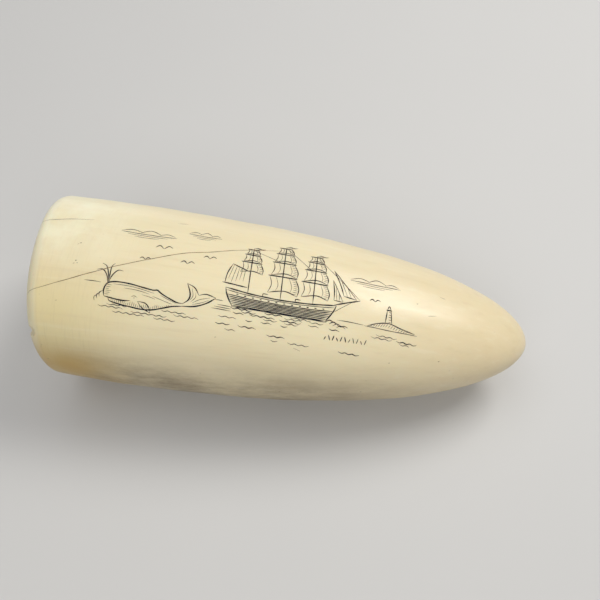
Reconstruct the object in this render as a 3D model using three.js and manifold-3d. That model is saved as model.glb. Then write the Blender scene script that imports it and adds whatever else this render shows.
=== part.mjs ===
// A polished whale tooth lying on its broad side, with its sawn butt at -X and its tip at +X.
// Millimetres, +Z up. The origin is the middle of the lying tooth, on the surface it rests on.
import * as THREE from "three";
import { mergeVertices } from "three/addons/utils/BufferGeometryUtils.js";
import Module from "manifold-3d";

// The body, a tapered oval
const LENGTH = 125; // sawn face to tip, along the axis
const BREADTH = 48.6; // fullest section, from edge to edge
const THICKNESS = 39.8; // fullest section, between the two broad sides
const FULLNESS = 2.9; // power: more keeps the body full for longer
const BLUNTNESS = 1.895; // power: 2 ends the tip as an ellipse does, less makes it sharper
const SECTION_POWER = 2.2; // 2 makes each section an ellipse, more makes it squarer
const ROOT_LENGTH = 19; // the stretch at the butt that draws in
const ROOT_NARROWING = 0.023; // the share by which it draws in there
const BOW = -0.66; // sideways bend at mid-length

// The sawn butt
const BUTT_LEAN = -6.2; // degrees that the saw cut turns out of square, seen from above
const RIM_RADIUS = 3; // polished rounding of the outer edge
const BUTT_WALL = 12; // solid ivory between the outer edge and the pulp hollow, across the breadth
const MOUTH_EASE = 0.8; // bevel where the hollow opens
const PULP_DEPTH = 30; // depth of the hollow along the axis
const PULP_POWER = 1.5; // curve of the hollow's wall
const PULP_POINT = 0.8; // 1 ends it as a cone, less rounds it

// How it lies
const LYING_PITCH = 3; // degrees that the tip dips, so that the belly is level under the weight
const FLAT_DEPTH = 0.3; // how much the belly's resting flat takes off
const BUTT_RAKE = -LYING_PITCH; // degrees out of square, seen from the side: the cut stands upright

// The nick in the rim
const NICK_RADIUS = 1.1;
const NICK_BITE = 0.5; // how deep it goes into the ivory
const NICK_ANGLE = 150.5; // round the section, from +Y over the top
const NICK_TURN = 15; // round the rim's edge, from the sawn face to the side

// Faceting
const SECTOR_COUNT = 56;
const BODY_RINGS = 44;
const RIM_RINGS = 4;
const PULP_RINGS = 14;

const radians = THREE.MathUtils.degToRad;

// Half the breadth of the body at a distance from the sawn face, before the rim is rounded.
function halfBreadth(along) {
  const taper = Math.pow(1 - Math.pow(along / LENGTH, FULLNESS), 1 / BLUNTNESS);
  const root = Math.max(0, 1 - along / ROOT_LENGTH);
  return (BREADTH / 2) * taper * (1 - ROOT_NARROWING * root * root);
}

// A point of the profile on the rim's edge, from the sawn face at turn 0 to the side at a quarter turn.
// Raised above 0, lift moves it straight out of the ivory.
function rimPoint(turn, lift = 0) {
  const along = RIM_RADIUS * (1 - Math.cos(turn));
  const inset = RIM_RADIUS * (1 - Math.sin(turn));
  return new THREE.Vector2(
    halfBreadth(along) - inset + lift * Math.sin(turn),
    along - lift * Math.cos(turn),
  );
}

function rimPoints() {
  const points = [];
  for (let i = 0; i <= RIM_RINGS; i++) points.push(rimPoint((Math.PI / 2) * (i / RIM_RINGS)));
  return points;
}

// The side from the rounding to the tip, with rings closer together towards the tip.
function sidePoints() {
  const start = Math.asin(RIM_RADIUS / LENGTH);
  const points = [];
  for (let i = 1; i < BODY_RINGS; i++) {
    const turn = THREE.MathUtils.lerp(start, Math.PI / 2, i / BODY_RINGS);
    const along = LENGTH * Math.sin(turn);
    points.push(new THREE.Vector2(halfBreadth(along), along));
  }
  points.push(new THREE.Vector2(0, LENGTH));
  return points;
}

// The hollow from its deep end out to the bevel at its mouth.
function pulpPoints() {
  const mouth = halfBreadth(0) - BUTT_WALL;
  const points = [new THREE.Vector2(0, PULP_DEPTH)];
  for (let i = PULP_RINGS - 1; i >= 1; i--) {
    const deep = THREE.MathUtils.lerp(MOUTH_EASE, PULP_DEPTH, i / PULP_RINGS);
    const narrowing = Math.pow(1 - Math.pow(deep / PULP_DEPTH, PULP_POWER), PULP_POINT);
    points.push(new THREE.Vector2(mouth * narrowing, deep));
  }
  points.push(new THREE.Vector2(mouth, MOUTH_EASE));
  points.push(new THREE.Vector2(mouth + MOUTH_EASE, 0));
  return points;
}

// Turns the circle of a turned body into the tooth's oval section.
function ovalPoint(radius, angle) {
  const round = (value) => Math.sign(value) * Math.pow(Math.abs(value), 2 / SECTION_POWER);
  return [
    radius * round(Math.cos(angle)),
    radius * round(Math.sin(angle)) * (THICKNESS / BREADTH),
  ];
}

// Where a point of the turned body goes in the tooth: oval, with a slight bow and the saw cut out of square.
function shapedPoint(radius, angle, along) {
  const [across, up] = ovalPoint(radius, angle);
  const share = along / LENGTH;
  const outOfSquare = Math.tan(radians(BUTT_LEAN)) * across + Math.tan(radians(BUTT_RAKE)) * up;
  return new THREE.Vector3(
    along + outOfSquare * Math.pow(1 - share, 2),
    across + 4 * BOW * share * (1 - share),
    up,
  );
}

// The whole tooth as one turned geometry, shaped point by point.
function toothGeometry() {
  const profile = [...pulpPoints(), ...rimPoints(), ...sidePoints()];
  const geometry = new THREE.LatheGeometry(profile, SECTOR_COUNT);
  const position = geometry.getAttribute("position");
  for (let i = 0; i < position.count; i++) {
    const radius = Math.hypot(position.getX(i), position.getZ(i));
    const angle = Math.atan2(position.getX(i), position.getZ(i));
    const point = shapedPoint(radius, angle, position.getY(i));
    position.setXYZ(i, point.x, point.y, point.z);
  }
  return geometry;
}

// The move from the tooth's own axis to how it lies: dipped, centred, and with its belly's flat on z = 0.
function lyingMatrix(geometry) {
  const dip = new THREE.Matrix4().makeRotationY(radians(LYING_PITCH));
  const box = new THREE.Box3().setFromBufferAttribute(
    geometry.clone().applyMatrix4(dip).getAttribute("position"),
  );
  const centre = box.getCenter(new THREE.Vector3());
  const rest = new THREE.Matrix4().makeTranslation(-centre.x, -centre.y, -box.min.z - FLAT_DEPTH);
  return rest.multiply(dip);
}

const wasm = await Module();
wasm.setup();

// A closed three.js geometry as a solid that can be cut.
function solidFrom(geometry) {
  const bare = new THREE.BufferGeometry();
  bare.setAttribute("position", geometry.getAttribute("position"));
  bare.setIndex(geometry.getIndex());
  const merged = mergeVertices(bare);
  const corners = merged.getIndex().array;
  const kept = [];
  for (let i = 0; i < corners.length; i += 3) {
    const [a, b, c] = [corners[i], corners[i + 1], corners[i + 2]];
    if (a !== b && b !== c && c !== a) kept.push(a, b, c);
  }
  return new wasm.Manifold(
    new wasm.Mesh({
      numProp: 3,
      vertProperties: merged.getAttribute("position").array,
      triVerts: new Uint32Array(kept),
    }),
  );
}

// A cut solid back as a three.js geometry.
function geometryFrom(solid) {
  const mesh = solid.getMesh();
  const geometry = new THREE.BufferGeometry();
  geometry.setAttribute("position", new THREE.BufferAttribute(mesh.vertProperties, 3));
  geometry.setIndex(new THREE.BufferAttribute(mesh.triVerts, 1));
  geometry.computeVertexNormals();
  return geometry;
}

// The block under the resting surface, which takes the belly down to a flat.
function underBlock() {
  const block = new THREE.BoxGeometry(2 * LENGTH, 2 * BREADTH, THICKNESS);
  return block.translate(0, 0, -THICKNESS / 2);
}

// The chip that is missing from the rim, as a small rough ball.
function nick(lying) {
  const onProfile = rimPoint(radians(NICK_TURN), NICK_RADIUS - NICK_BITE);
  const at = shapedPoint(onProfile.x, radians(NICK_ANGLE), onProfile.y).applyMatrix4(lying);
  return new THREE.IcosahedronGeometry(NICK_RADIUS, 1).translate(at.x, at.y, at.z);
}

function makeTooth() {
  const turned = toothGeometry();
  const lying = lyingMatrix(turned);
  const whole = solidFrom(turned.applyMatrix4(lying));
  const cut = whole.subtract(solidFrom(underBlock())).subtract(solidFrom(nick(lying)));
  const ivory = new THREE.MeshStandardMaterial({
    color: new THREE.Color(0.86, 0.8, 0.64),
    roughness: 0.35,
    metalness: 0,
  });
  const tooth = new THREE.Mesh(geometryFrom(cut), ivory);
  tooth.name = "whale_tooth";
  return tooth;
}

const ornament = new THREE.Group();
ornament.add(makeTooth());

export default ornament;
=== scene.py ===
import math
from collections import namedtuple

import bpy
import numpy as np
from mathutils import Matrix, Vector
from mathutils.geometry import delaunay_2d_cdt


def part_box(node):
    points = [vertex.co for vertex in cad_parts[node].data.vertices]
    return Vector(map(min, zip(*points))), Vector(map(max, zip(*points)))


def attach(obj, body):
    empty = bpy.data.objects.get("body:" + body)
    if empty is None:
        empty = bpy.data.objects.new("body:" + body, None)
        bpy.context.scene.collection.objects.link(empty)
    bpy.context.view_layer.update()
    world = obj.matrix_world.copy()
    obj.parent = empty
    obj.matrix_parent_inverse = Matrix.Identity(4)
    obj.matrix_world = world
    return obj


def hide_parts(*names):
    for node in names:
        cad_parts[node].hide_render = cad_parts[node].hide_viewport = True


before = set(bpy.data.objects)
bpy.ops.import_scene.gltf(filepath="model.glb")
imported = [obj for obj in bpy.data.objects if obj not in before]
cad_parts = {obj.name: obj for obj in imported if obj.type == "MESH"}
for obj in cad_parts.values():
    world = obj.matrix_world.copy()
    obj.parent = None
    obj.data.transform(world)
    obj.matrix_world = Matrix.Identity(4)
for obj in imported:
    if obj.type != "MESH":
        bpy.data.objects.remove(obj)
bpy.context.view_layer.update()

MM = 0.001

# The body, as the solid has it
LENGTH = 125 * MM
BREADTH = 48.6 * MM
THICKNESS = 39.8 * MM
FLATTENING = THICKNESS / BREADTH
FULLNESS = 2.9
BLUNTNESS = 1.895
SECTION_POWER = 2.2
ROOT_LENGTH = 19 * MM
ROOT_NARROWING = 0.023
BOW = -0.66 * MM
BUTT_LEAN = math.radians(-6.2)
RIM_RADIUS = 3 * MM
BUTT_WALL = 12 * MM
MOUTH_EASE = 0.8 * MM
PULP_DEPTH = 30 * MM
PULP_POWER = 1.5
PULP_POINT = 0.8
LYING_PITCH = math.radians(3)
BUTT_RAKE = -LYING_PITCH
FLAT_DEPTH = 0.3 * MM
# The run along the profile where the sawn face ends and the rounding of the rim starts
FACE_EDGE = RIM_RADIUS - RIM_RADIUS * math.pi / 2

# The slow waves that hand polishing leaves: height, length along the tooth, how often each goes round it
# and where it starts. They fade out over a stretch at the rim and at the tip.
WAVES = ((0.05 * MM, 34 * MM, 2, 0.6), (0.03 * MM, 15 * MM, -3, 0.0), (0.025 * MM, 80 * MM, 5, 0.0))
RIM_FADE = 8 * MM
TIP_FADE = 18 * MM

# The chip runs across the rim as a row of overlapping round bites, with a shallower row beside it. Each
# row has its turn round the section from the top at the rim's outline, its radius and how deep it bites.
CHIP_ROWS = ((math.radians(-60.6), 1.25 * MM, 0.52 * MM), (math.radians(-58.6), 1.5 * MM, 0.27 * MM))
CHIP_RIM_TURNS = np.radians(np.arange(-17, 62, 13))
CHIP_MIDDLE = math.radians(22)  # the turn round the rim from the sawn face where its outline is seen
CHIP_DRIFT = 0.058  # how much the row turns round the section for each turn round the rim

# The fineness of the modelled skin
SECTORS = 256
HOLLOW_RINGS = 26
FACE_RINGS = 18
RIM_RINGS = 14
SIDE_RINGS = 190
SHARP_TURN = math.radians(28)  # an edge that turns by more is shaded sharp

# The engraved panel: the runs between which it lies, and its arcs from the top line, as shares of the
# tooth's half breadth there, negative to the near side
PANEL_START = -3.2 * MM
PANEL_END = 103 * MM
PANEL_NEAR = -1.28
PANEL_FAR = 0.68
# The spacing of its plain points, in mm: in general, on the rim up to where that ends, and round the chip
PANEL_STEP = 0.9
RIM_STEP = 0.45
RIM_STEP_END = 3.8
CHIP_STEP = 0.12
CHIP_REACH = 3.0
STROKE_CLEARANCE = 0.2  # mm that plain points keep from a groove

# The cut of a groove, as shares of its half width: walls at 45 degrees, filled to a little below the skin
FILL_TOP = 0.2
FILL_SIDE = 0.9
FILL_FOOT = 1.1

# Half widths of the engraver's lines, in mm, and the distance between the stations along them
BOLD = 0.19
FIRM = 0.145
FINE = 0.105
HAIR = 0.072
STATION_STEP = 0.38
THIN_END = 0.35  # how wide an end is, as a share of the line
LONGEST_TAPER = 0.35  # as a share of a line's length
UNEVENNESS = 0.12  # how much of its width a line gains and loses on its way

# The flat map that materials are baked to: the side's share of its height, and the butt's disc
SIDE_SHARE = 0.76
BUTT_MIDDLE = (0.12, 0.88)
BUTT_REACH = 0.115

rng = np.random.default_rng(7)


def signed_power(value, power):
    return np.sign(value) * np.abs(value) ** power


def half_breadth(along):
    share = np.clip(along / LENGTH, 0, 1)
    root = np.clip(1 - along / ROOT_LENGTH, 0, None)
    return BREADTH / 2 * (1 - share**FULLNESS) ** (1 / BLUNTNESS) * (1 - ROOT_NARROWING * root**2)


def profile(run):
    """Half breadth, distance from the butt and turn of the profile at a run along it. A run is a distance
    from the butt, carried on below RIM_RADIUS over the rounding of the rim and then over the sawn face."""
    run = np.asarray(run, float)
    turn = np.clip(math.pi / 2 - (RIM_RADIUS - run) / RIM_RADIUS, 0, math.pi / 2)
    along = np.where(run > RIM_RADIUS, run, RIM_RADIUS * (1 - np.cos(turn)))
    inset = RIM_RADIUS * (1 - np.sin(turn)) + np.clip(FACE_EDGE - run, 0, None)
    return half_breadth(along) - inset, along, turn


def section_table():
    """Turns round a section of half breadth 1 from its top line, and the arc to each."""
    turns = np.linspace(-math.pi, math.pi, 4001)
    across = signed_power(np.sin(turns), 2 / SECTION_POWER)
    up = signed_power(np.cos(turns), 2 / SECTION_POWER) * FLATTENING
    steps = np.hypot(np.diff(across), np.diff(up))
    arcs = np.concatenate([[0], np.cumsum(steps)])
    return turns, arcs - arcs[-1] / 2


TURNS, ARCS = section_table()
HALF_ROUND = ARCS[-1]


def turn_at(arc_share):
    """The turn from the top line at an arc over the half breadth, positive to the far side."""
    return np.interp(arc_share, ARCS, TURNS)


def shaped(radius, along, turn):
    """A point of the tooth as it lies, before it is set down on the surface."""
    across = radius * signed_power(np.sin(turn), 2 / SECTION_POWER)
    up = radius * signed_power(np.cos(turn), 2 / SECTION_POWER) * FLATTENING
    share = along / LENGTH
    lean = (math.tan(BUTT_LEAN) * across + math.tan(BUTT_RAKE) * up) * (1 - share) ** 2
    x = along + lean
    y = across + 4 * BOW * share * (1 - share)
    level, dip = math.cos(LYING_PITCH), math.sin(LYING_PITCH)
    return np.stack([x * level + up * dip, y + 0 * x, up * level - x * dip], axis=-1)


def setting_down():
    """The shift from the tooth's own axis to its place in the frame."""
    along, turn = np.meshgrid(np.linspace(0, LENGTH, 400), np.linspace(-math.pi, math.pi, 241))
    points = shaped(half_breadth(along), along, turn).reshape(-1, 3)
    low, high = points.min(0), points.max(0)
    box_low, box_high = (np.array(corner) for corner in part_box("whale_tooth"))
    middle = (box_low + box_high) / 2 - (low + high) / 2
    return np.array([middle[0], middle[1], box_low[2] - FLAT_DEPTH - low[2]])


SET_DOWN = setting_down()


def waviness(along, turn):
    """How far the hand-polished surface stands off its ideal form."""
    rise = 0
    for height, length, rounds, start in WAVES:
        rise = rise + height * np.sin(2 * math.pi * along / length + rounds * turn + start)
    from_rim = np.clip((along - RIM_RADIUS) / RIM_FADE, 0, 1)
    from_tip = np.clip((LENGTH - along) / TIP_FADE, 0, 1)
    return rise * from_rim * from_tip


def placed(radius, along, turn):
    """A point of the skin in the frame, never below the surface that the tooth lies on."""
    points = shaped(radius, along, turn) + SET_DOWN
    points[..., 2] = np.maximum(points[..., 2], 0)
    return points


def skin_point(run, arc, sink):
    """A point at a run along the profile and an arc from the top line, sunk into the ivory."""
    radius, along, profile_turn = profile(run)
    turn = turn_at(arc / radius)
    radius = radius + waviness(along, turn) - sink * np.sin(profile_turn)
    return placed(radius, along + sink * np.cos(profile_turn), turn)


# The strokes of the engraving are drawn in mm: across is the distance from the butt, up is the arc from
# the top line of the lying tooth, positive to its far side.


def smoothed(points):
    """A smooth path through the points, as a list of stations about a step apart."""
    points = np.array(points, float)
    ends = np.vstack([2 * points[0] - points[1], points, 2 * points[-1] - points[-2]])
    path = []
    for a, b, c, d in zip(ends, ends[1:], ends[2:], ends[3:]):
        count = max(1, int(np.ceil(np.linalg.norm(c - b) / STATION_STEP)))
        slope, bend, swing = c - a, 2 * a - 5 * b + 4 * c - d, 3 * b - a - 3 * c + d
        for t in np.arange(count) / count:
            path.append(0.5 * (2 * b + slope * t + bend * t**2 + swing * t**3))
    path.append(points[-1])
    return np.array(path)


def directions(path):
    ahead = np.gradient(path, axis=0)
    return ahead / np.linalg.norm(ahead, axis=1)[:, None]


def sideways(path):
    """For each station the direction to the left of the path."""
    ahead = directions(path)
    return np.stack([-ahead[:, 1], ahead[:, 0]], axis=1)


def stroke(points, weight, taper=1.4, wobble=0.018):
    """One cut of the needle: its stations and its half width at each, thin at both ends."""
    path = smoothed(points)
    lengths = np.concatenate([[0], np.cumsum(np.linalg.norm(np.diff(path, axis=0), axis=1))])
    from_end = np.minimum(lengths, lengths[-1] - lengths)
    reach = min(taper, LONGEST_TAPER * lengths[-1])
    widths = weight * (THIN_END + (1 - THIN_END) * np.clip(from_end / reach, 0, 1))
    widths = widths * (1 + UNEVENNESS * np.sin(lengths * 1.7 + rng.uniform(0, 6.28)))
    shift = wobble * np.sin(lengths * 0.9 + rng.uniform(0, 6.28))
    return path + sideways(path) * shift[:, None], widths


def cuts(weight, *lines, **manner):
    """A stroke along each of the lines."""
    return [stroke(line, weight, **manner) for line in lines]


def mixed(a, b, share):
    return (a[0] + (b[0] - a[0]) * share, a[1] + (b[1] - a[1]) * share)


SEA_LEVEL = -9.6
BOW_AT = 73.6
STERN_AT = 47.4


def rail(across):
    """The height of the hull's upper edge."""
    middle = (BOW_AT + STERN_AT) / 2
    return SEA_LEVEL + 3.3 + 1.05 * ((across - middle) / (BOW_AT - middle)) ** 2


def strake(share):
    """A line along the hull, from its rail at 0 to its waterline at 1."""
    places = np.linspace(STERN_AT + 2.0 * share**1.6, BOW_AT - 2.3 * share**1.3, 8)
    return [(x, rail(x) * (1 - share) + SEA_LEVEL * share) for x in places]


def hull():
    """A hull with a pale band of ports over dark planking."""
    strokes = cuts(BOLD, strake(0)) + cuts(FINE, strake(0.13)) + cuts(FIRM, strake(0.36))
    strokes += cuts(FIRM, *[strake(share) for share in np.arange(0.46, 0.99, 0.1)], wobble=0.008)
    for end in (0, -1):
        strokes += cuts(BOLD, [strake(share)[end] for share in np.linspace(0, 1, 5)])
    for x in np.arange(STERN_AT + 2.6, BOW_AT - 2.4, 1.85):
        level = rail(x) * 0.755 + SEA_LEVEL * 0.245
        strokes += cuts(BOLD, [(x, level), (x + 0.55, level)], taper=0.1)
    return strokes


def square_sail(mast, foot, head, foot_half, head_half):
    """A square sail filled by wind from the left: its yard, edges, seams and the shade in its lee."""
    tall = head - foot
    belly = 0.17 * tall
    mean_half = (foot_half + head_half) / 2
    left_foot = (mast - foot_half + 0.4 * belly, foot)
    right_foot = (mast + foot_half + 0.4 * belly, foot)
    left_head, right_head = (mast - head_half, head), (mast + head_half, head)
    yard = [(mast - head_half - 0.4, head + 0.06), (mast + head_half + 0.4, head + 0.06)]
    strokes = cuts(BOLD, yard, taper=0.5)
    strokes += cuts(FINE, [left_head, (mast - mean_half + belly, foot + 0.5 * tall), left_foot])
    lee_edge = [right_head, (mast + mean_half + belly, foot + 0.45 * tall), right_foot]
    strokes += cuts(FIRM, lee_edge, [left_foot, (mast + belly, foot + 0.2 * tall), right_foot])
    for share in (0.25, 0.75):
        top, low = mixed(left_head, right_head, share), mixed(left_foot, right_foot, share)
        middle = ((top[0] + low[0]) / 2 + 0.7 * belly, foot + 0.5 * tall)
        strokes += cuts(HAIR, [top, middle, (low[0], low[1] + 0.15 * tall)])
    for level in np.arange(head - 0.45, foot + 0.3, -0.52):
        down = (head - level) / tall
        edge = mast + head_half + (foot_half - head_half) * down + belly * math.sin(math.pi * down)
        strokes += cuts(HAIR, [(edge - 0.36 * foot_half, level + 0.03), (edge - 0.1, level)])
    return strokes


def mast_with_sails(mast, top, size, lowest=0):
    """A mast with its square sails, each smaller than the one under it, and its pennant."""
    strokes = cuts(FIRM, [(mast, rail(mast) + 0.1), (mast, top)], wobble=0.006)
    heights = (0.0, 0.34, 0.62, 0.82, 0.97)
    halves = (3.45, 3.1, 2.5, 1.9, 1.3)
    foot = rail(mast) + 1.35
    for i in range(lowest, 4):
        low = foot + (top - foot) * heights[i] + 0.12
        high = foot + (top - foot) * heights[i + 1] - 0.16
        strokes += square_sail(mast, low, high, halves[i] * size, halves[i + 1] * size)
    tail = (mast + 2.8, top + 0.25)
    strokes += cuts(FIRM, [(mast, top), (mast + 0.9, top + 0.32), (mast + 1.9, top + 0.04), tail])
    strokes += cuts(HAIR, [(mast, top - 0.4), (mast + 1.1, top - 0.05), tail])
    return strokes


def headsails(foremast, top):
    """The bowsprit with its stays and two jibs."""
    root, tip = (BOW_AT - 0.5, rail(BOW_AT) + 0.1), (BOW_AT + 5.6, rail(BOW_AT) + 2.3)
    strokes = cuts(BOLD, [root, tip]) + cuts(HAIR, [tip, (foremast + 0.2, top - 0.8)], wobble=0)
    strokes += cuts(HAIR, [(BOW_AT - 0.8, -7.2), mixed(root, tip, 0.72)])
    outer = ((72.4, 4.3), (78.3, -2.9), (75.2, -2.5))
    inner = ((72.4, 1.4), (75.1, -4.1), (72.9, -4.0))
    for head, tack, clew in (outer, inner):
        strokes += cuts(FINE, [head, tack], wobble=0)
        strokes += cuts(FIRM, [tack, clew], [clew, mixed(mixed(clew, head, 0.5), tack, 0.08), head])
        for share in (0.3, 0.6):
            strokes += cuts(HAIR, [mixed(head, tack, share), mixed(clew, tack, share)])
    return strokes


def spanker(mizzen):
    """The fore-and-aft sail behind the aftermost mast, with seams that are cut short by chance."""
    throat, peak = (mizzen - 0.3, -0.2), (mizzen - 4.3, 1.3)
    tack, clew = (mizzen - 0.3, -4.5), (mizzen - 5.6, -4.1)
    strokes = cuts(BOLD, [throat, peak], [tack, (clew[0] - 0.6, clew[1] + 0.05)])
    strokes += cuts(FIRM, [peak, (mizzen - 5.3, -1.4), clew])
    for share in (np.arange(5) + 0.5) / 5:
        head = mixed(mixed(throat, peak, 0.15), peak, share)
        foot = mixed(mixed(tack, clew, 0.15), clew, share)
        strokes += cuts(HAIR, [head, mixed(head, foot, 1 - 0.3 * rng.uniform(0, 1))])
    return strokes


def ship():
    """A three-masted ship under sail. Each mast has its place, its top and the size of its sails."""
    mizzen, main_mast, foremast = (52.6, 7.0, 0.84), (60.3, 9.4, 1.0), (68.0, 8.0, 0.92)
    strokes = hull() + mast_with_sails(*mizzen, lowest=1) + mast_with_sails(*main_mast)
    strokes += mast_with_sails(*foremast) + headsails(*foremast[:2]) + spanker(mizzen[0])
    for left, right in ((mizzen, main_mast), (main_mast, foremast)):
        stay = [(left[0] + 0.2, left[1] - 0.7), (right[0] - 0.3, right[1] - 5.6)]
        strokes += cuts(HAIR, stay, wobble=0)
    for x in (56.2, 63.9):
        deckhouse = [(x, rail(x) + 0.1), (x, rail(x) + 0.75), (x + 1.2, rail(x) + 0.75)]
        strokes += cuts(FIRM, deckhouse)
    return strokes


WHALE_AT = (19.4, -13.3)
WHALE_SIZE = 0.9


def at_whale(points):
    return [(WHALE_AT[0] + WHALE_SIZE * x, WHALE_AT[1] + WHALE_SIZE * y) for x, y in points]


WHALE_BACK = at_whale(
    [(0.1, 1.6), (-0.2, 2.9), (0.1, 4.4), (1.0, 5.4), (3.2, 5.85), (7.0, 5.75), (10.5, 5.25)]
    + [(12.6, 5.0), (13.7, 5.2), (14.7, 4.55), (17.0, 3.5), (19.0, 2.75), (20.6, 2.7)]
)
WHALE_BELLY = at_whale(
    [(1.2, 1.25), (1.5, 0.6), (4.0, 0.1), (6.6, -0.15), (9.4, -0.4), (12.4, -0.2), (15.2, 0.6)]
    + [(18.0, 1.55), (20.4, 2.0)]
)


def whale_cuts(weight, *lines, **manner):
    return cuts(weight, *[at_whale(line) for line in lines], **manner)


def along_outline(outline, share):
    path = smoothed(outline)
    place = share * (len(path) - 1)
    index = int(min(place, len(path) - 2))
    return mixed(path[index], path[index + 1], place - index)


def whale_outline():
    """Its back and belly, mouth, eye, brow, flipper and the two raised lobes of its tail."""
    flipper = [(8.9, 1.5), (10.0, 0.1), (12.4, -1.0)], [(12.4, -1.0), (12.0, 0.3), (10.9, 1.3), (8.9, 1.5)]
    lobes = [(21.2, 8.3), (23.2, 7.4), (24.5, 5.5)], [(24.5, 5.5), (26.4, 6.1), (29.0, 5.5)]
    strokes = cuts(BOLD, WHALE_BACK, WHALE_BELLY)
    strokes += whale_cuts(BOLD, [(0.1, 1.6), (2.4, 1.3), (4.8, 1.15), (6.9, 1.4)])
    strokes += whale_cuts(BOLD, [(7.7, 2.2), (8.1, 2.25)], taper=0.1)
    strokes += whale_cuts(HAIR, [(7.1, 2.5), (7.9, 2.8), (8.7, 2.45)])
    strokes += whale_cuts(FIRM, *flipper)
    strokes += whale_cuts(BOLD, [(20.6, 2.7), (21.9, 3.9), (22.2, 5.6), (21.2, 8.3)])
    strokes += whale_cuts(FIRM, *lobes)
    return strokes + whale_cuts(BOLD, [(29.0, 5.5), (26.6, 3.7), (23.6, 2.4), (20.4, 2.0)])


def whale_shading():
    """Fine lines on its tail and back, short ones up from its belly and back from its brow."""
    strokes = whale_cuts(
        HAIR,
        [(22.1, 3.6), (23.0, 5.1), (22.5, 7.2)], [(22.6, 3.5), (23.7, 4.8), (23.6, 6.1)],
        [(23.0, 3.2), (24.8, 4.4), (27.4, 5.3)], [(23.0, 2.8), (25.2, 3.6), (27.2, 4.6)],
        [(2.2, 5.15), (6.0, 5.2), (10.0, 4.75), (13.0, 4.25)],
        [(14.6, 4.0), (16.6, 3.2), (19.0, 2.45)],
        [(5.0, 4.5), (8.6, 4.35), (11.8, 3.8)],
        [(12.6, 3.4), (15.2, 2.75), (17.8, 2.1)],
        [(9.8, 3.4), (11.8, 3.1), (13.4, 2.7)],
    )
    for share in np.linspace(0.07, 0.95, 36):
        low, high = along_outline(WHALE_BELLY, share), along_outline(WHALE_BACK, 0.2 + 0.79 * share)
        reach = 0.2 + 0.05 * math.sin(share * 40)
        strokes += cuts(HAIR, [mixed(low, high, 0.04), mixed(low, high, reach)])
    for i in range(6):
        level = 2.2 + 0.5 * i
        strokes += whale_cuts(HAIR, [(0.2, level), (1.2 + 0.3 * (i % 3), level + 0.05)])
    return strokes


def whale():
    """A sperm whale that swims to the left with raised flukes and a leaning spout."""
    return whale_outline() + whale_shading() + whale_cuts(
        FIRM,
        [(0.6, 5.3), (0.1, 7.3), (-1.1, 8.7), (-2.6, 8.4)],
        [(0.7, 5.4), (0.4, 7.9), (-0.3, 9.8), (-1.5, 10.4)],
        [(0.8, 5.4), (0.9, 8.0), (1.1, 9.9), (1.8, 10.8)],
        [(0.9, 5.4), (1.5, 7.4), (2.8, 9.0), (4.2, 9.0)],
    )


def gulls():
    """Gulls on the wing. Each has its place and the length of a wing."""
    strokes = []
    flock = ((31.5, 2.4, 2.0), (37.6, -0.8, 1.6), (27.6, -1.3, 1.3), (42.6, 1.6, 1.5), (82.8, -2.4, 1.3))
    for x, y, wing in flock:
        left = [(x - wing, y + 0.1 * wing), (x - 0.5 * wing, y + 0.45 * wing), (x, y)]
        right = [(x, y), (x + 0.55 * wing, y + 0.5 * wing), (x + 1.05 * wing, y + 0.25 * wing)]
        strokes += cuts(FIRM, left, right)
    return strokes


def headland():
    """A low headland with a lighthouse, where the sea ends on the right."""
    shore = SEA_LEVEL + 0.9
    ridge = [(81.4, shore), (83.6, shore + 0.95), (86.4, shore + 1.5), (89.2, shore + 0.9)]
    ridge.append((93.0, shore + 0.15))
    waterline = [(80.6, shore - 0.1), (87.0, shore - 0.2), (93.6, shore - 0.1)]
    strokes = cuts(FIRM, ridge) + cuts(FINE, waterline)
    for x in np.arange(82.6, 91.6, 0.62):
        high = np.interp(x, [p[0] for p in ridge], [p[1] for p in ridge]) - 0.12
        strokes += cuts(HAIR, [(x, high), (x - 0.55, max(shore + 0.05, high - 0.8))])
    foot, top = shore + 1.4, shore + 4.8
    strokes += cuts(FIRM, [(85.6, foot), (85.95, top)], [(87.2, foot), (86.85, top)], wobble=0)
    strokes += cuts(BOLD, [(85.7, top), (87.1, top)], wobble=0, taper=0.2)
    strokes += cuts(FIRM, [(85.95, top + 0.1), (86.4, top + 1.05), (86.85, top + 0.1)], wobble=0)
    for level in np.arange(foot + 0.4, top - 0.2, 0.62):
        strokes += cuts(FINE, [(86.35, level), (87.0, level)])
    return strokes


def far_clouds():
    """Long flat clouds: bulging upper edges over level strokes."""
    strokes = []
    for left, right, level in ((20.5, 34.0, 6.4), (76.5, 89.0, 2.6), (36.5, 44.5, 8.7)):
        width = right - left
        for start, end, rise in ((0.0, 0.4, 0.75), (0.34, 0.72, 1.1), (0.68, 0.96, 0.6)):
            a, b = left + start * width, left + end * width
            strokes += cuts(FINE, [(a, level), ((a + b) / 2, level + rise), (b, level + 0.1)])
        for i in range(3):
            a, b = left + 0.12 * i * width, right - 0.16 * i * width
            low = level - 0.25 - 0.55 * i
            strokes += cuts(HAIR if i else FINE, [(a, low), ((a + b) / 2, low - 0.08), (b, low)])
    return strokes


def horizon():
    """The horizon's stretches, which stop short of the whale, the ship and the headland."""
    level = SEA_LEVEL + 0.9
    stretches = ((14.5, 18.4), (45.2, 47.2), (74.2, 80.4))
    return [stroke([(a, level), ((a + b) / 2, level + 0.05), (b, level)], FINE) for a, b in stretches]


def ripple(left, right, level, weight):
    """A long low line of waves."""
    places = np.arange(left, right + 0.01, 0.85)
    return stroke([(x, level + 0.13 * (-1) ** i) for i, x in enumerate(places)], weight)


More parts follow.
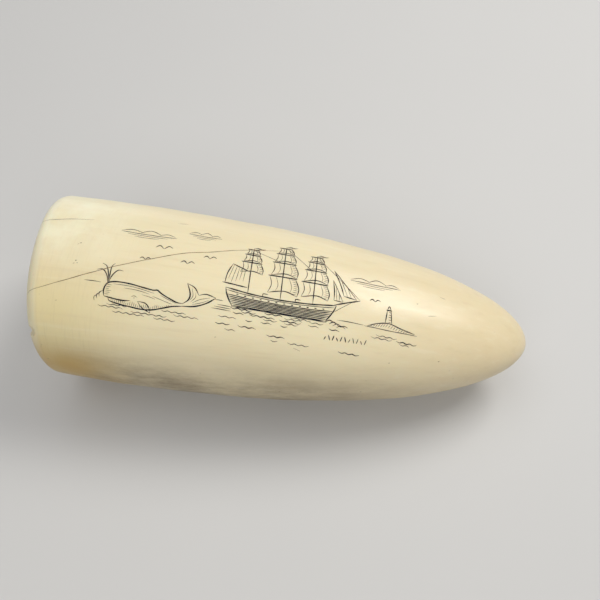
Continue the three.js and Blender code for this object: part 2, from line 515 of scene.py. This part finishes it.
def clear_of_figures(left, right, up):
    """Whether a ripple stays off the whale, the hull and the row of marks."""
    whale_here = right > 17.8 and left < 45.8 and up > -15.0
    marks_here = right > 70.2 and left < 83.0 and -14.9 < up < -11.7
    hull_here = right > STERN_AT + 1.0 and left < BOW_AT - 1.5 and up > SEA_LEVEL - 0.4
    return not (whale_here or marks_here or hull_here)


def sea():
    """Rows of waves, closest together under the ship and thinning out downwards and to both sides."""
    strokes = []
    for row, drop in enumerate((0.45, 0.95, 1.5, 2.1, 2.8, 3.6, 4.5, 5.5, 6.6)):
        across = 15.0 + rng.uniform(0, 4)
        while across < 92:
            width = rng.uniform(1.8, 6.5)
            level = SEA_LEVEL - drop + rng.uniform(-0.12, 0.12)
            near_ship = math.exp(-(((across + width / 2 - 61) / 17) ** 2))
            likely = 0.22 + 0.7 * near_ship - 0.05 * row
            if clear_of_figures(across, across + width, level) and rng.uniform() < likely:
                weight = FINE if rng.uniform() < 0.6 else FIRM
                strokes.append(ripple(across, across + width, level, weight))
            across += width + rng.uniform(0.6, 2.6)
    return strokes


def bow_wave():
    """The water at the ship's bow, along its waterline and behind its stern."""
    strokes = []
    for i in range(4):
        a, b = BOW_AT - 2.2 + 0.9 * i, SEA_LEVEL - 0.05 - 0.3 * i
        strokes += cuts(FIRM if i < 2 else FINE, [(a, b), (a + 1.0, b + 0.62), (a + 2.2, b + 0.1)])
    for i in range(3):
        a, b = STERN_AT - 1.4 - 0.7 * i, SEA_LEVEL - 0.15 - 0.5 * i
        strokes += cuts(FINE, [(a, b), (STERN_AT + 1.8, b - 0.1)])
    strokes += cuts(FIRM, [(STERN_AT + 1.8, SEA_LEVEL - 0.12), (BOW_AT - 2.0, SEA_LEVEL - 0.12)])
    return strokes


def whale_wash():
    """The water that the whale parts: ripples under its level, and three short cuts before its brow."""
    strokes = []
    low = WHALE_AT[1]
    ripples = [(20.2, 25.6, 0.25), (33.0, 39.6, -0.1), (18.2, 24.2, 0.85), (26.0, 34.5, 1.25)]
    ripples += [(36.0, 42.5, 0.55), (21.6, 29.4, 1.8), (31.4, 37.0, 1.95)]
    for left, right, drop in ripples:
        strokes.append(ripple(left, right, low - drop, FINE))
    for i in range(3):
        a, b = 18.4 - 0.55 * i, -12.1 - 0.55 * i
        strokes += cuts(FINE, [(a, b), (a - 0.1, b + 0.9), (a + 0.7, b + 1.5)])
    return strokes


def row_of_marks():
    """A row of short plain strokes where an inscription would stand."""
    strokes = []
    left, right = (71.2, -13.8), (81.8, -13.3)
    count = 11
    for i in range(count):
        foot = mixed(left, right, (i + 0.5) / count)
        lean = 0.2 * (-1) ** i
        tall = 1.25 if i % 3 else 0.85
        weight = FIRM if i < count / 2 else FINE
        mark = [(foot[0] - lean, foot[1]), (foot[0] + lean, foot[1] + tall)]
        strokes += cuts(weight, mark, taper=0.3)
    return strokes


def engraving():
    strokes = ship() + whale() + gulls() + headland() + far_clouds() + horizon()
    return strokes + sea() + bow_wave() + whale_wash() + row_of_marks()


def age_cracks():
    """The hairline cracks that run into the ivory from the sawn rim, and a few old scratches."""
    long_crack = [(-1.0, -14.0), (1.7, -12.9), (8.8, -9.9), (15.2, -7.0), (22.1, -3.8), (29.0, -0.9)]
    long_crack += [(36.8, 2.2), (41.6, 3.4), (50.0, 5.9), (58.8, 7.7)]
    short_crack = [(-0.8, 5.5), (1.4, 6.1), (7.5, 7.6), (13.3, 8.6)]
    strokes = cuts(0.1, long_crack, taper=14) + cuts(0.075, short_crack, taper=5)
    scratches = [(96.0, -3.2, 2.2, 0.5), (64.5, -17.0, 1.8, -0.5), (33.0, 12.0, 2.6, 0.2)]
    scratches += [(99.0, 3.0, 1.5, -0.4)]
    for x, y, run, rise in scratches:
        strokes += cuts(0.055, [(x, y), (x + run, y + rise)])
    return strokes


def pits():
    """The small dark pits of the old surface, each as a very short wide cut."""
    places = [(11.7, 0.6, 0.27), (11.2, 0.2, 0.15), (11.5, -4.3, 0.3), (11.1, -5.1, 0.2)]
    places += [(11.9, -4.9, 0.13), (93.1, -0.6, 0.22), (99.7, -13.7, 0.26), (8.0, -14.5, 0.16)]
    places += [(46.0, -17.4, 0.17), (87.5, -16.5, 0.15)]
    return [stroke([(x, y), (x + 0.35, y + 0.12)], size, taper=0.05, wobble=0) for x, y, size in places]


def segments_of(strokes):
    """The strokes as one array of segments: both ends and the half width at each."""
    rows = []
    for path, widths in strokes:
        rows.append(np.column_stack([path[:-1], path[1:], widths[:-1], widths[1:]]))
    return np.vstack(rows)


def groove_depths(points, segments, block=400):
    """How deep the grooves are at each point, in mm; below 0 it is how far the nearest groove is."""
    deepest = np.full(len(points), -1e3)
    for start in range(0, len(segments), block):
        part = segments[start : start + block]
        run = part[:, 2:4] - part[:, 0:2]
        length = np.maximum((run**2).sum(1), 1e-12)
        rel = points[:, None, :] - part[None, :, 0:2]
        share = np.clip((rel * run[None]).sum(2) / length, 0, 1)
        away = np.linalg.norm(rel - share[..., None] * run[None], axis=2)
        widths = part[:, 4] + (part[:, 5] - part[:, 4]) * share
        deepest = np.maximum(deepest, (widths - away).max(1))
    return deepest


def stroke_constraints(strokes, first):
    """The points and edges of each groove's foot, its two upper edges and its rounded ends."""
    points, edges = [], []
    for path, widths in strokes:
        ahead = directions(path)
        side = sideways(path) * widths[:, None]
        count = len(path)
        base = first + len(points)
        points += list(path) + list(path + side) + list(path - side)
        points += [path[0] - ahead[0] * widths[0], path[-1] + ahead[-1] * widths[-1]]
        for line in range(3):
            edges += [(base + line * count + i, base + line * count + i + 1) for i in range(count - 1)]
        for end, cap in ((0, base + 3 * count), (count - 1, base + 3 * count + 1)):
            edges += [(base + end + line * count, cap) for line in range(3)]
    return points, edges


# A ring of the skin's points: its half breadth, its distance from the butt, its kind and its run
Ring = namedtuple("Ring", "radius along kind run")


def skin_profile():
    """Every ring from the hollow's deep end to the tip."""
    mouth = float(half_breadth(0)) - BUTT_WALL
    rings = []
    for share in np.linspace(0, 1, HOLLOW_RINGS + 1)[1:]:
        deep = PULP_DEPTH + (MOUTH_EASE - PULP_DEPTH) * share
        radius = mouth * (1 - (deep / PULP_DEPTH) ** PULP_POWER) ** PULP_POINT
        rings.append(Ring(radius, deep, "hollow", -PULP_DEPTH))
    rim_start = float(half_breadth(0)) - RIM_RADIUS
    for radius in np.linspace(mouth + MOUTH_EASE, rim_start, FACE_RINGS + 1):
        rings.append(Ring(radius, 0.0, "face", FACE_EDGE - (rim_start - radius)))
    for run in np.linspace(FACE_EDGE, RIM_RADIUS, RIM_RINGS + 1)[1:-1]:
        radius, along, _ = profile(run)
        rings.append(Ring(float(radius), float(along), "rim", run))
    for turn in np.linspace(math.asin(RIM_RADIUS / LENGTH), math.pi / 2, SIDE_RINGS + 1)[:-1]:
        along = LENGTH * math.sin(turn)
        rings.append(Ring(float(half_breadth(along)), along, "side", along))
    return rings


# The skin is a grid of rings and sectors. The panel takes the place of the part between these.
RINGS = skin_profile()
SECTOR_ARCS = -HALF_ROUND + 2 * HALF_ROUND * np.arange(SECTORS) / SECTORS
RING_FIRST = next(i for i, ring in enumerate(RINGS) if ring.run >= PANEL_START)
RING_LAST = next(i for i, ring in enumerate(RINGS) if ring.run >= PANEL_END)
SECTOR_FIRST = int(np.searchsorted(SECTOR_ARCS, PANEL_NEAR))
SECTOR_LAST = int(np.searchsorted(SECTOR_ARCS, PANEL_FAR))


def grid_number(ring, sector):
    return ring * SECTORS + sector % SECTORS


def panel_border():
    """The skin's points round the panel, anticlockwise, and their numbers."""
    loop = [(ring, SECTOR_FIRST) for ring in range(RING_FIRST, RING_LAST)]
    loop += [(RING_LAST, sector) for sector in range(SECTOR_FIRST, SECTOR_LAST)]
    loop += [(ring, SECTOR_LAST) for ring in range(RING_LAST, RING_FIRST, -1)]
    loop += [(RING_FIRST, sector) for sector in range(SECTOR_LAST, SECTOR_FIRST, -1)]
    points = [(RINGS[r].run / MM, SECTOR_ARCS[s] * RINGS[r].radius / MM) for r, s in loop]
    return np.array(points), [grid_number(r, s) for r, s in loop]


def chip_place(section_turn, rim_turn):
    """The run and the arc of a place on the rim."""
    run = RIM_RADIUS - RIM_RADIUS * (math.pi / 2 - rim_turn)
    radius, _, _ = profile(run)
    return run, float(np.interp(section_turn, TURNS, ARCS) * radius)


def roughness(points):
    """How uneven a broken surface is at each point, as a share of a bite's radius."""
    coarse, fine = np.array([5200, 7100, 4300]), 17000
    return 0.04 * np.sin(points @ coarse) + 0.03 * np.sin(points[:, 2] * fine)


def chipped(points):
    """Presses the points inside the chip's bites back to their rough surface, and says which they are."""
    moved = np.zeros(len(points), bool)
    for section_turn, size, deep in CHIP_ROWS:
        for rim_turn in CHIP_RIM_TURNS:
            drifted = section_turn + CHIP_DRIFT * (rim_turn - CHIP_MIDDLE)
            centre = skin_point(*chip_place(drifted, rim_turn), deep - size)
            away = points - centre
            distance = np.linalg.norm(away, axis=1)
            reach = size * (1 + roughness(points))
            inside = distance < reach
            points[inside] = centre + away[inside] / distance[inside, None] * reach[inside, None]
            moved |= inside
    return moved


def hex_points(low, high, step):
    """Points in rows 0.87 of a step apart, each row half a step out of line with the one before."""
    rows = np.arange(low[1], high[1], step * 0.87)
    columns = np.arange(low[0], high[0], step)
    return np.array([(x + (k % 2) * step / 2, y) for k, y in enumerate(rows) for x in columns])


def inside_panel(points, low, high, margin):
    """Which of the points lie well inside the panel's edges."""
    radius = profile(points[:, 0] * MM)[0] / MM
    kept = (points[:, 0] > low + margin) & (points[:, 0] < high - margin)
    kept &= points[:, 1] > SECTOR_ARCS[SECTOR_FIRST] * radius + margin
    return kept & (points[:, 1] < SECTOR_ARCS[SECTOR_LAST] * radius - margin)


def plain_points(border, segments):
    """The panel's points between its grooves: closer together on the rim and closest round the chip."""
    low, high = border.min(0), border.max(0)
    chip = np.array(chip_place(CHIP_ROWS[0][0], CHIP_MIDDLE)) / MM
    kept = []
    for step, start, end in ((RIM_STEP, low[0], RIM_STEP_END), (PANEL_STEP, RIM_STEP_END, high[0])):
        points = hex_points((start, low[1]), (end, high[1]), step)
        points = points[inside_panel(points, low[0], high[0], 0.6 * step)]
        kept.append(points[np.linalg.norm(points - chip, axis=1) > CHIP_REACH])
    fine = hex_points(chip - CHIP_REACH, chip + CHIP_REACH, CHIP_STEP)
    fine = fine[inside_panel(fine, low[0], high[0], CHIP_STEP)]
    kept.append(fine[np.linalg.norm(fine - chip, axis=1) < CHIP_REACH - CHIP_STEP])
    plain = np.vstack(kept)
    return plain[groove_depths(plain, segments) < -STROKE_CLEARANCE]


def panel_mesh(strokes, border):
    """Triangulates the engraved panel in its own plane, in mm. Border is the ring of points that it shares
    with the skin round it. Returns the points, their triangles and the new number of each border point."""
    points, edges = stroke_constraints(strokes, len(border))
    plain = plain_points(border, segments_of(strokes))
    every = [Vector(point) for part in (border, points, plain) for point in part]
    outline = [list(range(len(border)))]
    inside_only, tolerance = 1, 1e-5
    made, _, triangles, sources, _, _ = delaunay_2d_cdt(every, edges, outline, inside_only, tolerance)
    renumbered = {old: new for new, source in enumerate(sources) for old in source if old < len(border)}
    return np.array([tuple(p) for p in made]), triangles, renumbered


def bake_place(region, run, arc_share):
    """Where a corner lies in the flat map: the side as a broad band, the butt and its hollow as a disc."""
    if region == "side":
        return run, SIDE_SHARE * (arc_share + HALF_ROUND) / (2 * HALF_ROUND)
    turn = math.pi * arc_share / HALF_ROUND
    reach = BUTT_REACH * run
    return BUTT_MIDDLE[0] + reach * math.sin(turn), BUTT_MIDDLE[1] + reach * math.cos(turn)


def ring_runs():
    """How far along the flat map each ring lies, inside the map's seam and outside it."""
    profile_points = np.array([ring[:2] for ring in RINGS] + [(0.0, LENGTH)])
    lengths = np.concatenate([[0], np.cumsum(np.linalg.norm(np.diff(profile_points, axis=0), axis=1))])
    start = math.hypot(RINGS[0].radius, PULP_DEPTH - RINGS[0].along)
    inner = (lengths[: RING_FIRST + 1] + start) / (lengths[RING_FIRST] + start)
    outer = (lengths - lengths[RING_FIRST]) / (lengths[-1] - lengths[RING_FIRST])
    return inner, outer


def grid_faces():
    """The faces of the skin outside the panel, with each corner's place in the flat map."""
    inner, outer = ring_runs()
    arcs = np.append(SECTOR_ARCS, HALF_ROUND)
    last = len(RINGS) - 1
    deep_number, tip_number = len(RINGS) * SECTORS, len(RINGS) * SECTORS + 1
    faces, places = [], []

    def corner(ring, sector, region):
        return bake_place(region, (outer if region == "side" else inner)[ring], arcs[sector])

    for sector in range(SECTORS):
        after = sector + 1
        faces.append((deep_number, grid_number(0, sector), grid_number(0, after)))
        places += [bake_place("butt", 0.0, 0.0), corner(0, sector, "butt"), corner(0, after, "butt")]
        for ring in range(last):
            if RING_FIRST <= ring < RING_LAST and SECTOR_FIRST <= sector < SECTOR_LAST:
                continue
            region = "side" if ring >= RING_FIRST else "butt"
            loop = [(ring, sector), (ring + 1, sector), (ring + 1, after), (ring, after)]
            faces.append(tuple(grid_number(*place) for place in loop))
            places += [corner(*place, region) for place in loop]
        faces.append((grid_number(last, sector), tip_number, grid_number(last, after)))
        places += [corner(last, sector, "side"), bake_place("side", 1.0, arcs[sector])]
        places.append(corner(last, after, "side"))
    return faces, places


def grid_points():
    """The points of the skin's rings, then one at the hollow's deep end and one at the tip."""
    radius, turn = np.meshgrid([ring.radius for ring in RINGS], turn_at(SECTOR_ARCS), indexing="ij")
    along = np.array([ring.along for ring in RINGS])[:, None] + 0 * turn
    wavy = np.array([ring.kind == "side" for ring in RINGS])[:, None]
    grid = placed(radius + waviness(along, turn) * wavy, along, turn).reshape(-1, 3)
    ends = [placed(np.array(0.0), np.array(end), np.array(0.0)) for end in (PULP_DEPTH, LENGTH)]
    return np.vstack([grid, ends])


def material_values(flat):
    """What the ivory's material reads at each point: the rings', the two ends' and the panel's."""
    runs = flat[:, 0] * MM
    radii, alongs, _ = profile(runs)
    on_face = runs < FACE_EDGE + 0.1 * MM
    kinds = np.array([ring.kind for ring in RINGS])
    full = float(half_breadth(0))

    def joined(by_ring, at_ends, on_panel):
        return np.concatenate([np.repeat(by_ring, SECTORS), at_ends, on_panel])

    return {
        "along": joined([ring.along for ring in RINGS], [PULP_DEPTH, LENGTH], alongs),
        "face": joined(kinds == "face", [0, 0], on_face),
        "hollow": joined(kinds == "hollow", [1, 0], 0 * on_face),
        "ring": joined(np.array([ring.radius for ring in RINGS]) / full, [0, 1], radii / full),
    }


def skin_mesh(strokes):
    """The whole surface of the tooth as one closed mesh with the grooves in it, and its values by name."""
    grid = grid_points()
    border, border_numbers = panel_border()
    flat, triangles, renumbered = panel_mesh(strokes, border)
    depths = np.clip(groove_depths(flat, segments_of(strokes)), 0, None)
    panel = skin_point(flat[:, 0] * MM, flat[:, 1] * MM, depths * MM)
    points = np.vstack([grid, panel])
    numbers = np.arange(len(flat)) + len(grid)
    for old, new in renumbered.items():
        numbers[new] = border_numbers[old]
    faces, places = grid_faces()
    runs = [ring.run for ring in RINGS[RING_FIRST:]]
    map_runs = np.interp(flat[:, 0] * MM, runs, ring_runs()[1][RING_FIRST:-1])
    shares = flat[:, 1] * MM / profile(flat[:, 0] * MM)[0]
    for triangle in triangles:
        faces.append(tuple(int(numbers[i]) for i in triangle))
        places += [bake_place("side", map_runs[i], shares[i]) for i in triangle]
    values = material_values(flat)
    values["chip"] = chipped(points)
    return points, faces, places, values


def facing(points):
    """How far each point lies to the far side of the tooth's axis and above it, from -1 to 1."""
    own = points - SET_DOWN
    across = own[:, 1]
    up = (own[:, 2] * math.cos(LYING_PITCH) + own[:, 0] * math.sin(LYING_PITCH)) / FLATTENING
    reach = np.maximum(np.hypot(across, up), 1e-6)
    return across / reach, up / reach


def new_object(name, data):
    made = bpy.data.objects.new(name, data)
    bpy.context.scene.collection.objects.link(made)
    return made


def new_piece(name, points, faces, material):
    mesh = bpy.data.meshes.new(name)
    mesh.from_pydata([tuple(p) for p in points], [], faces)
    mesh.materials.append(material)
    mesh.shade_smooth()
    mesh.set_sharp_from_angle(angle=SHARP_TURN)
    return new_object(name, mesh)


def add_values(mesh, name, values):
    layer = mesh.attributes.new(name, "FLOAT", "POINT")
    layer.data.foreach_set("value", np.asarray(values, np.float32))


def add_bake_map(mesh, places):
    layer = mesh.uv_layers.new(name="OFBake")
    layer.data.foreach_set("uv", np.asarray(places, np.float32).ravel())


def filling_mesh(strokes):
    """What lies in the grooves: a closed wedge along each stroke, sunk a little below the skin."""
    points, faces, weights = [], [], []
    for path, widths in strokes:
        side = sideways(path) * widths[:, None] * FILL_SIDE
        base = len(points)
        for offset, depth in ((side, FILL_TOP), (-side, FILL_TOP), (0 * side, FILL_FOOT)):
            place = (path + offset) * MM
            points += list(skin_point(place[:, 0], place[:, 1], widths * depth * MM))
        count = len(path)
        weights += list(np.tile(widths, 3))
        for i in range(count - 1):
            left, right, foot = base + i, base + count + i, base + 2 * count + i
            for a, b in ((left, right), (right, foot), (foot, left)):
                faces.append((a, b, b + 1, a + 1))
        faces.append((base, base + 2 * count, base + count))
        faces.append((base + count - 1, base + 2 * count - 1, base + 3 * count - 1))
    return np.array(points), faces, np.array(weights)


class Nodes:
    """A material's nodes, made and joined in short calls. A colour is given as red, green and blue."""

    def __init__(self, name):
        self.material = bpy.data.materials.new(name)
        self.material.use_nodes = True
        self.tree = self.material.node_tree
        self.tree.nodes.clear()
        self.shader = self.new("BsdfPrincipled")
        self.feed(self.new("OutputMaterial"), Surface=self.shader.outputs[0])
        self.place = self.new("TexCoord").outputs["Object"]

    def new(self, kind):
        return self.tree.nodes.new("ShaderNode" + kind)

    def give(self, socket, value):
        if isinstance(value, bpy.types.NodeSocket):
            self.tree.links.new(value, socket)
        elif isinstance(value, tuple) and socket.type == "RGBA":
            socket.default_value = (*value, 1)
        else:
            socket.default_value = value

    def feed(self, node, **inputs):
        """Sets or joins the node's inputs, which are named with _ for a space."""
        for name, value in inputs.items():
            self.give(node.inputs[name.replace("_", " ")], value)
        return node

    def value(self, name):
        node = self.new("Attribute")
        node.attribute_name = name
        return node.outputs["Fac"]

    def noise(self, scale, detail=3.0, roughness=0.5, stretch=(1, 1, 1)):
        place = self.feed(self.new("Mapping"), Scale=stretch, Vector=self.place).outputs[0]
        node = self.feed(self.new("TexNoise"), Vector=place, Scale=scale)
        return self.feed(node, Detail=detail, Roughness=roughness).outputs["Fac"]

    def dots(self, scale):
        return self.feed(self.new("TexVoronoi"), Vector=self.place, Scale=scale).outputs["Distance"]

    def ramp(self, value, low, high, to_low=0.0, to_high=1.0, smooth=True):
        node = self.new("MapRange")
        node.interpolation_type = "SMOOTHSTEP" if smooth else "LINEAR"
        self.feed(node, Value=value, From_Min=low, From_Max=high, To_Min=to_low, To_Max=to_high)
        return node.outputs[0]

    def maths(self, operation, *values):
        """The operation on one or two values, or on more of them one after the other."""
        node = self.new("Math")
        node.operation = operation
        for socket, value in zip(node.inputs, values[:2]):
            self.give(socket, value)
        result, rest = node.outputs[0], values[2:]
        return self.maths(operation, result, *rest) if rest else result

    def product(self, *values):
        return self.maths("MULTIPLY", *values)

    def total(self, *values):
        return self.maths("ADD", *values)

    def mix(self, share, a, b):
        node = self.new("Mix")
        node.data_type = "RGBA"
        for number, value in ((0, share), (6, a), (7, b)):
            self.give(node.inputs[number], value)
        return node.outputs[2]

    def bump(self, height, strength, distance):
        node = self.feed(self.new("Bump"), Strength=strength, Distance=distance, Height=height)
        self.feed(self.shader, Normal=node.outputs[0])


def body_colour(n, along, side, near_butt, grain, cross):
    """Cream in broad soft clouds, a little redder at the tip and yellower at the root, with fine grain
    along the tooth and finer lines across it near the butt."""
    clouds = n.ramp(n.noise(32, 3, 0.5, (0.45, 1, 1)), 0.3, 0.7)
    colour = n.mix(clouds, (0.83, 0.735, 0.49), (0.765, 0.655, 0.425))
    colour = n.mix(n.ramp(along, 75 * MM, 123 * MM, 0, 0.6), colour, (0.78, 0.64, 0.40))
    yellowing = n.product(near_butt, n.ramp(side, -0.1, -0.65, 0.12, 0.8))
    colour = n.mix(yellowing, colour, (0.765, 0.655, 0.355))
    colour = n.mix(n.ramp(grain, 0.52, 0.75, 0, 0.28), colour, (0.66, 0.54, 0.33))
    colour = n.mix(n.ramp(grain, 0.48, 0.28, 0, 0.25), colour, (0.88, 0.81, 0.61))
    crossing = n.product(n.ramp(cross, 0.48, 0.75, 0, 0.26), near_butt)
    return n.mix(crossing, colour, (0.60, 0.50, 0.30))


def rim_tinted(n, colour, along, side):
    """A greyer band on the polished rim, a faint line where its rounding ends, and a paler far side near
    the butt: part bleached ivory, part painted highlight.
    """
    colour = n.mix(n.ramp(along, 3.6 * MM, 2.4 * MM, 0, 0.55), colour, (0.70, 0.655, 0.485))
    off_line = n.maths("ABSOLUTE", n.maths("SUBTRACT", along, 3.3 * MM))
    colour = n.mix(n.ramp(off_line, 0.4 * MM, 0.1 * MM, 0, 0.1), colour, (0.50, 0.41, 0.24))
    # Paler on the far side near the butt: part bleached ivory, part painted highlight where the light
    # falls
    bleach_and_highlight = n.product(n.ramp(along, 30 * MM, 8 * MM), n.ramp(side, -0.4, 0.15))
    bleach_and_highlight = n.product(bleach_and_highlight, n.ramp(n.noise(140, 4, 0.6), 0.3, 0.65, 0.25, 0.8))
    return n.mix(bleach_and_highlight, colour, (0.89, 0.85, 0.63))


def stains_and_painted_shade(n, colour, along, side, up):
    """Darkening low on the near side in soft long patches, partly old brown stain and partly painted shade
    where the underside turns away from the light; golden stain at the butt's corner, and dark specks that
    are thickest where that darkening is."""
    # Darker low on the near side: part old stain, part painted shade where the underside turns away from
    # the light
    low_stain_and_shade = n.product(n.ramp(side, -0.4, -0.9), n.ramp(up, 0.64, 0.02))
    to_tip, to_rim = n.ramp(along, 110 * MM, 55 * MM, 0.2, 0.85), n.ramp(along, 3 * MM, 14 * MM, 0.4, 1)
    patches = n.ramp(n.noise(120, 7, 0.72, (0.4, 1, 1)), 0.3, 0.68, 0.4, 1.0)
    # The dark brown laid over that mask is stain and painted shade together
    colour = n.mix(n.product(low_stain_and_shade, to_tip, to_rim, patches), colour, (0.165, 0.112, 0.056))
    corner = n.product(n.ramp(along, 28 * MM, 8 * MM), n.ramp(up, 0.6, 0.12), n.ramp(side, 0.0, -0.7))
    corner = n.product(corner, n.ramp(n.noise(90, 3), 0.3, 0.65, 0.55, 0.9))
    colour = n.mix(corner, colour, (0.50, 0.32, 0.075))
    specks = n.product(n.ramp(n.dots(500), 0.15, 0.05), n.ramp(n.noise(80, 2), 0.5, 0.66))
    speck_share = n.total(n.product(low_stain_and_shade, 0.45), 0.07)
    return n.mix(n.product(specks, speck_share), colour, (0.16, 0.12, 0.07))


def sawn_colour(n, ring, saw):
    """Growth rings round the hollow, a pale outer layer and faint saw marks."""
    swing = n.total(n.product(ring, 95.0), n.product(n.noise(150, 2), 4.0))
    bands = n.ramp(n.maths("SINE", swing), -1, 1)
    colour = n.mix(bands, (0.70, 0.59, 0.38), (0.79, 0.70, 0.49))
    colour = n.mix(n.ramp(ring, 0.74, 0.78, 0, 0.7), colour, (0.82, 0.76, 0.58))
    return n.mix(n.ramp(saw, 0.5, 0.75, 0, 0.22), colour, (0.56, 0.45, 0.27))


def hollow_colour(n, along):
    """Brown and chalky, darker inwards."""
    mottled = n.ramp(n.noise(240, 5, 0.65), 0.35, 0.7)
    colour = n.mix(mottled, (0.34, 0.245, 0.14), (0.55, 0.44, 0.28))
    return n.mix(n.ramp(along, 4 * MM, 24 * MM), colour, (0.20, 0.14, 0.08))


def ivory_material():
    n = Nodes("old_ivory")
    names = ("along", "side", "height", "face", "hollow", "ring")
    along, side, up, face, hollow, ring = (n.value(name) for name in names)
    near_butt = n.ramp(along, 36 * MM, 4 * MM)
    grain = n.noise(560, 4, 0.6, (0.04, 1, 1))
    cross = n.noise(2200, 3, 0.6, (1, 0.08, 0.08))
    saw = n.noise(1500, 2, 0.5, (1, 0.03, 1))
    colour = body_colour(n, along, side, near_butt, grain, cross)
    colour = rim_tinted(n, colour, along, side)
    colour = stains_and_painted_shade(n, colour, along, side, up)
    colour = n.mix(face, colour, sawn_colour(n, ring, saw))
    colour = n.mix(hollow, colour, hollow_colour(n, along))
    colour = n.mix(n.product(n.value("chip"), 0.35), colour, (0.50, 0.42, 0.28))
    # Satin all over, duller on the cut and dull in the hollow
    rough = n.ramp(n.noise(260, 5, 0.7, (0.2, 1, 1)), 0.3, 0.7, 0.31, 0.45)
    rough = n.total(rough, n.product(face, 0.12), n.product(hollow, 0.45))
    height = n.total(grain, n.product(cross, near_butt), n.product(saw, face, 3.0))
    height = n.total(height, n.product(n.noise(500, 5, 0.7), hollow, 18.0))
    n.bump(height, 0.35, 0.03 * MM)
    n.feed(n.shader, Base_Color=colour, Roughness=rough, IOR=1.5)
    n.feed(n.shader, Coat_Weight=0.1, Coat_Roughness=0.2, Coat_IOR=1.5)
    n.feed(n.shader, Subsurface_Weight=0.25, Subsurface_Scale=2.5 * MM)
    n.feed(n.shader, Subsurface_Radius=(1.0, 0.62, 0.34))
    return n.material


def filling_material(name, make_colour):
    """A dull filling with a fine uneven surface."""
    n = Nodes(name)
    n.bump(n.noise(4000, 2), 0.3, 0.02 * MM)
    n.feed(n.shader, Base_Color=make_colour(n), Roughness=0.75, IOR=1.3)
    return n.material


def ink_colour(n):
    """Old ink rubbed into the lines: blue-black in the bold ones, browner in the fine and the worn."""
    weight = n.ramp(n.value("weight"), 0.05, 0.13, smooth=False)
    colour = n.mix(weight, (0.060, 0.050, 0.042), (0.010, 0.011, 0.017))
    worn = n.ramp(n.noise(260, 3, 0.6), 0.58, 0.8, 0, 0.25)
    return n.mix(worn, colour, (0.16, 0.13, 0.10))


def crack_colour(n):
    return n.mix(n.ramp(n.noise(180, 3), 0.35, 0.65), (0.14, 0.10, 0.045), (0.25, 0.185, 0.095))


def floor_material():
    n = Nodes("pale_floor")
    colour = (0.60, 0.595, 0.585)
    faint = n.mix(n.ramp(n.noise(18, 2), 0.3, 0.7, 0, 0.06), colour, tuple(0.9 * c for c in colour))
    n.feed(n.shader, Base_Color=faint, Roughness=0.65)
    return n.material


def make_tooth(strokes):
    points, faces, places, values = skin_mesh(strokes)
    tooth = new_piece("tooth_ivory", points, faces, ivory_material())
    values["side"], values["height"] = facing(points)
    for name, numbers in values.items():
        add_values(tooth.data, name, numbers)
    add_bake_map(tooth.data, places)
    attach(tooth, "root")
    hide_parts("whale_tooth")


def make_filling(name, strokes, material):
    points, faces, weights = filling_mesh(strokes)
    filling = new_piece(name, points, faces, material)
    add_values(filling.data, "weight", weights)
    low = points.min(0)[:2]
    size = (points.max(0)[:2] - low).max()
    add_bake_map(filling.data, [(points[i][:2] - low) / size for face in faces for i in face])
    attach(filling, "root")


def make_floor():
    reach = 3.0
    corners = [(-reach, -reach, 0), (reach, -reach, 0), (reach, reach, 0), (-reach, reach, 0)]
    material = floor_material()
    new_piece("floor", corners, [(0, 1, 2, 3)], material)


# The camera stands where the photograph was taken from
CAMERA_AZIMUTH = math.radians(7.296)
CAMERA_ELEVATION = math.radians(60)
CAMERA_ROLL = math.radians(-0.175)
CAMERA_DISTANCE = 0.1529
CAMERA_TARGET = (0.003846, 0.0, 0.025888)


def make_camera():
    data = bpy.data.cameras.new("camera")
    data.sensor_width = 36
    data.lens = 36
    data.clip_start = 0.005
    camera = new_object("camera", data)
    level, rise = math.cos(CAMERA_ELEVATION), math.sin(CAMERA_ELEVATION)
    back = Vector((math.sin(CAMERA_AZIMUTH) * level, -math.cos(CAMERA_AZIMUTH) * level, rise))
    turned = (-back).to_track_quat("-Z", "Y").to_matrix() @ Matrix.Rotation(CAMERA_ROLL, 3, "Z")
    place = Vector(CAMERA_TARGET) + back * CAMERA_DISTANCE
    camera.matrix_world = Matrix.Translation(place) @ turned.to_4x4()
    bpy.context.scene.camera = camera


def soft_light(name, place, size, power, colour, in_gloss=True):
    data = bpy.data.lights.new(name, "AREA")
    data.shape = "RECTANGLE"
    data.size, data.size_y = size
    data.energy = power
    data.color = colour
    light = new_object(name, data)
    light.location = place
    aim = Vector((0.01, 0, 0.03))
    light.rotation_euler = (aim - Vector(place)).to_track_quat("-Z", "Y").to_euler()
    light.visible_glossy = in_gloss


def make_lights():
    soft_light("window", (0.33, 0.33, 0.58), (0.40, 0.25), 3.0, (1.0, 0.985, 0.95))
    soft_light("ceiling", (-0.20, 0.15, 0.75), (0.8, 0.6), 2.05, (1.0, 0.99, 0.97), in_gloss=False)
    soft_light("fill", (0.04, -0.48, 0.50), (0.9, 0.4), 2.1, (1.0, 0.985, 0.96), in_gloss=False)
    soft_light("edge", (-0.1, 0.62, 0.07), (1.1, 0.12), 0.6, (1.0, 1.0, 1.0))
    world = bpy.data.worlds.new("studio")
    world.use_nodes = True
    background = world.node_tree.nodes["Background"].inputs
    background["Color"].default_value = (0.92, 0.94, 1.0, 1)
    background["Strength"].default_value = 0.16
    bpy.context.scene.world = world
    bpy.context.scene.view_settings.view_transform = "Standard"


def main():
    ink_strokes = engraving()
    brown_strokes = age_cracks() + pits()
    make_tooth(ink_strokes + brown_strokes)
    make_filling("engraving_ink", ink_strokes, filling_material("rubbed_in_ink", ink_colour))
    make_filling("crack_filling", brown_strokes, filling_material("brown_in_cracks", crack_colour))
    make_floor()
    make_camera()
    make_lights()


main()
bpy.context.view_layer.update()
